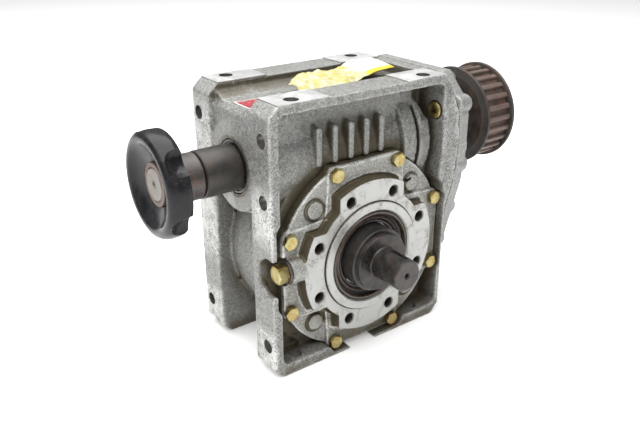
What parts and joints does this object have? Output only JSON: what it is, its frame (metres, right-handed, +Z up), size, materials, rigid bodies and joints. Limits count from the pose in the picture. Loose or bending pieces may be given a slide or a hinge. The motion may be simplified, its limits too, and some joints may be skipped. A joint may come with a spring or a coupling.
{
  "type": "worm gearbox",
  "caption": "Universal worm gearbox with a handwheel on one end of the worm, a toothed belt pulley on the other and a keyed output shaft.",
  "frame": {"origin": "bottom centre of the whole object's box, on the plane of the feet", "axes": "+X along the worm from the handwheel to the pulley, +Y from the output shaft to the rear cover, +Z up"},
  "size_m": [0.3174, 0.165, 0.2075],
  "materials": {
    "cast_aluminium": "sand cast, stained with old oil",
    "smooth_cast_aluminium": "smooth die cast",
    "yellow_zinc": "yellow zinc plated",
    "dark_steel": "dark, oily",
    "ground_steel": "ground",
    "bearing_steel": "polished",
    "bronze": "machined bronze",
    "rubber": "oily nitrile",
    "black_plastic": "glossy moulded",
    "rusty_steel": "brown, lightly rusted",
    "paper": "crumpled, matt"
  },
  "bodies": {
    "gearcase": {"flange_screw_1": "yellow_zinc", "flange_screw_2": "yellow_zinc", "front_bearing_outer_ring": "bearing_steel", "front_cover": "cast_aluminium", "front_cover_bolt_1": "yellow_zinc", "front_cover_bolt_2": "yellow_zinc", "front_cover_bolt_3": "yellow_zinc", "front_cover_bolt_4": "yellow_zinc", "front_cover_bolt_5": "yellow_zinc", "front_cover_bolt_6": "yellow_zinc", "front_cover_bolt_7": "yellow_zinc", "front_cover_bolt_8": "yellow_zinc", "front_output_seal": "rubber", "housing": "cast_aluminium", "input_flange": "smooth_cast_aluminium", "oil_plug": "yellow_zinc", "paper_label": "paper", "plug_washer": "rusty_steel", "rear_bearing_outer_ring": "bearing_steel", "rear_cover": "cast_aluminium", "rear_cover_bolt_1": "yellow_zinc", "rear_cover_bolt_2": "yellow_zinc", "rear_cover_bolt_3": "yellow_zinc", "rear_cover_bolt_4": "yellow_zinc", "rear_cover_bolt_5": "yellow_zinc", "rear_cover_bolt_6": "yellow_zinc", "rear_cover_bolt_7": "yellow_zinc", "rear_cover_bolt_8": "yellow_zinc", "rear_output_seal": "rubber", "worm_left_bearing_outer_ring": "bearing_steel", "worm_left_seal": "rubber", "worm_right_bearing_outer_ring": "bearing_steel", "worm_right_seal": "rubber"},
    "worm_line": {"worm_shaft": "ground_steel", "worm_left_bearing_inner_ring": "bearing_steel", "worm_right_bearing_inner_ring": "bearing_steel", "pulley": "rusty_steel", "pulley_flange_inner": "dark_steel", "pulley_flange_outer": "dark_steel", "pulley_key": "ground_steel", "shaft_sleeve": "dark_steel", "shaft_collar": "rusty_steel", "handwheel": "black_plastic", "handwheel_bushing": "rusty_steel"},
    "output_line": {"wheel_hub": "cast_aluminium", "wheel_rim": "bronze", "output_shaft": "dark_steel", "output_key": "ground_steel", "retaining_washer": "ground_steel", "retaining_screw": "yellow_zinc", "front_bearing_inner_ring": "bearing_steel", "rear_bearing_inner_ring": "bearing_steel"},
    "front_ball_set": {"front_bearing_balls": "bearing_steel"},
    "rear_ball_set": {"rear_bearing_balls": "bearing_steel"},
    "worm_left_ball_set": {"worm_left_bearing_balls": "bearing_steel"},
    "worm_right_ball_set": {"worm_right_bearing_balls": "bearing_steel"}
  },
  "joints": [
    {"name": "output_spin", "type": "hinge", "parent": "gearcase", "child": "output_line", "pos_m": [-0.00775, 0.01015, 0.077], "axis": [0, 1, 0], "continuous": true},
    {"name": "worm_spin", "type": "hinge", "parent": "gearcase", "child": "worm_line", "pos_m": [-0.00775, 0.01015, 0.152], "axis": [1, 0, 0], "continuous": true},
    {"name": "front_balls_roll", "type": "hinge", "parent": "gearcase", "child": "front_ball_set", "pos_m": [-0.00775, -0.02725, 0.077], "axis": [0, 1, 0], "continuous": true},
    {"name": "rear_balls_roll", "type": "hinge", "parent": "gearcase", "child": "rear_ball_set", "pos_m": [-0.00775, 0.04755, 0.077], "axis": [0, 1, 0], "continuous": true},
    {"name": "worm_left_balls_roll", "type": "hinge", "parent": "gearcase", "child": "worm_left_ball_set", "pos_m": [-0.07825, 0.01015, 0.152], "axis": [1, 0, 0], "continuous": true},
    {"name": "worm_right_balls_roll", "type": "hinge", "parent": "gearcase", "child": "worm_right_ball_set", "pos_m": [0.05065, 0.01015, 0.152], "axis": [1, 0, 0], "continuous": true}
  ],
  "couplings": [
    {"joint": "worm_spin", "follows": "output_spin", "ratio": -30},
    {"joint": "front_balls_roll", "follows": "output_spin", "ratio": 0.434},
    {"joint": "rear_balls_roll", "follows": "output_spin", "ratio": 0.434},
    {"joint": "worm_left_balls_roll", "follows": "output_spin", "ratio": -12.28},
    {"joint": "worm_right_balls_roll", "follows": "output_spin", "ratio": -12.08}
  ]
}
